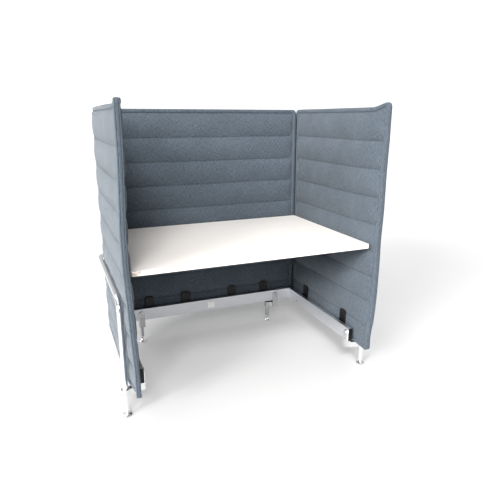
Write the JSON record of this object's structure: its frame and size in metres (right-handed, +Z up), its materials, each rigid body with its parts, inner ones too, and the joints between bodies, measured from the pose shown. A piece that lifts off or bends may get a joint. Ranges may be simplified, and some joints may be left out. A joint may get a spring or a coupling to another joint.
{
  "type": "study carrel",
  "caption": "Study carrel with three quilted fabric panels round a white desktop, on a low U-shaped beam with a tubular bow and levelling feet.",
  "frame": {"origin": "on the floor under the middle of the overall outline", "axes": "+Z up, +X to the sitter's right, +Y towards the back panel, so the open front faces -Y"},
  "size_m": [1.354, 0.943, 1.424],
  "materials": {
    "fabric": "woven blue-grey wool blend over foam",
    "core_board": "raw board, sealed inside",
    "tabletop_laminate": "warm white laminate, satin",
    "edging": "white edge strip",
    "aluminium": "satin anodised",
    "plug_metal": "as cast",
    "black_plastic": "moulded black",
    "cast_metal": "polished casting",
    "screw_steel": "zinc plated",
    "tube_metal": "polished chrome on steel tube",
    "inner_steel": "plain steel",
    "insert_plastic": "moulded grey",
    "foot_metal": "bright plated",
    "glide_plastic": "moulded black",
    "bracket_steel": "dark powder coat",
    "zip_tape": "woven tape",
    "zip_metal": "dark plated"
  },
  "bodies": {
    "carrel": {"back_clip_1": "black_plastic", "back_clip_2": "black_plastic", "back_clip_3": "black_plastic", "back_clip_4": "black_plastic", "back_panel": "fabric", "back_panel_core": "core_board", "blank_plate": "aluminium", "bolt_spacers": "screw_steel", "bow_sleeves": "inner_steel", "bracket_screws": "screw_steel", "clip_screws": "screw_steel", "corner_bolts": "screw_steel", "foot_inserts": "insert_plastic", "front_left_bracket": "cast_metal", "front_right_bracket": "cast_metal", "left_beam": "aluminium", "left_beam_end_cap": "black_plastic", "left_bow_tube": "tube_metal", "left_corner_plug": "plug_metal", "left_corner_zip": "zip_tape", "left_front_clip": "black_plastic", "left_panel": "fabric", "left_panel_core": "core_board", "left_rear_clip": "black_plastic", "left_table_bracket": "bracket_steel", "lock_nuts": "foot_metal", "panel_bolts": "screw_steel", "rear_beam": "aluminium", "rear_beam_end_caps": "black_plastic", "rear_bow_tube": "tube_metal", "rear_left_bracket": "cast_metal", "rear_left_leg": "tube_metal", "rear_right_bracket": "cast_metal", "rear_right_leg": "tube_metal", "right_beam": "aluminium", "right_beam_end_cap": "black_plastic", "right_bow_tube": "tube_metal", "right_corner_plug": "plug_metal", "right_corner_zip": "zip_tape", "right_front_clip": "black_plastic", "right_panel": "fabric", "right_panel_core": "core_board", "right_rear_clip": "black_plastic", "right_table_bracket": "bracket_steel", "set_screws": "screw_steel", "table_screws": "screw_steel", "tabletop": "tabletop_laminate", "tabletop_edging": "edging"},
    "front_left_leveller": {"front_left_foot": "foot_metal", "front_left_glide": "glide_plastic"},
    "front_right_leveller": {"front_right_foot": "foot_metal", "front_right_glide": "glide_plastic"},
    "rear_left_leveller": {"rear_left_foot": "foot_metal", "rear_left_glide": "glide_plastic"},
    "rear_right_leveller": {"rear_right_foot": "foot_metal", "rear_right_glide": "glide_plastic"},
    "left_slider": {"left_zip_slider": "zip_metal"},
    "left_pull": {"left_zip_pull": "zip_metal"},
    "right_slider": {"right_zip_slider": "zip_metal"},
    "right_pull": {"right_zip_pull": "zip_metal"}
  },
  "joints": [
    {"name": "front_left_levelling", "type": "slide", "parent": "carrel", "child": "front_left_leveller", "axis": [0, 0, -1], "range_m": [0, 0.015]},
    {"name": "front_right_levelling", "type": "slide", "parent": "carrel", "child": "front_right_leveller", "axis": [0, 0, -1], "range_m": [0, 0.015]},
    {"name": "rear_left_levelling", "type": "slide", "parent": "carrel", "child": "rear_left_leveller", "axis": [0, 0, -1], "range_m": [0, 0.015]},
    {"name": "rear_right_levelling", "type": "slide", "parent": "carrel", "child": "rear_right_leveller", "axis": [0, 0, -1], "range_m": [0, 0.015]},
    {"name": "left_zip_run", "type": "slide", "parent": "carrel", "child": "left_slider", "axis": [0, 0, -1], "range_m": [0, 0.74]},
    {"name": "left_pull_swing", "type": "hinge", "parent": "left_slider", "child": "left_pull", "pos_m": [-0.62887, 0.43287, 1.3745], "axis": [0.7071, 0.7071, 0], "range_deg": [0, 150]},
    {"name": "right_zip_run", "type": "slide", "parent": "carrel", "child": "right_slider", "axis": [0, 0, -1], "range_m": [0, 0.74]},
    {"name": "right_pull_swing", "type": "hinge", "parent": "right_slider", "child": "right_pull", "pos_m": [0.62887, 0.43287, 1.3745], "axis": [0.7071, -0.7071, 0], "range_deg": [0, 150]}
  ]
}
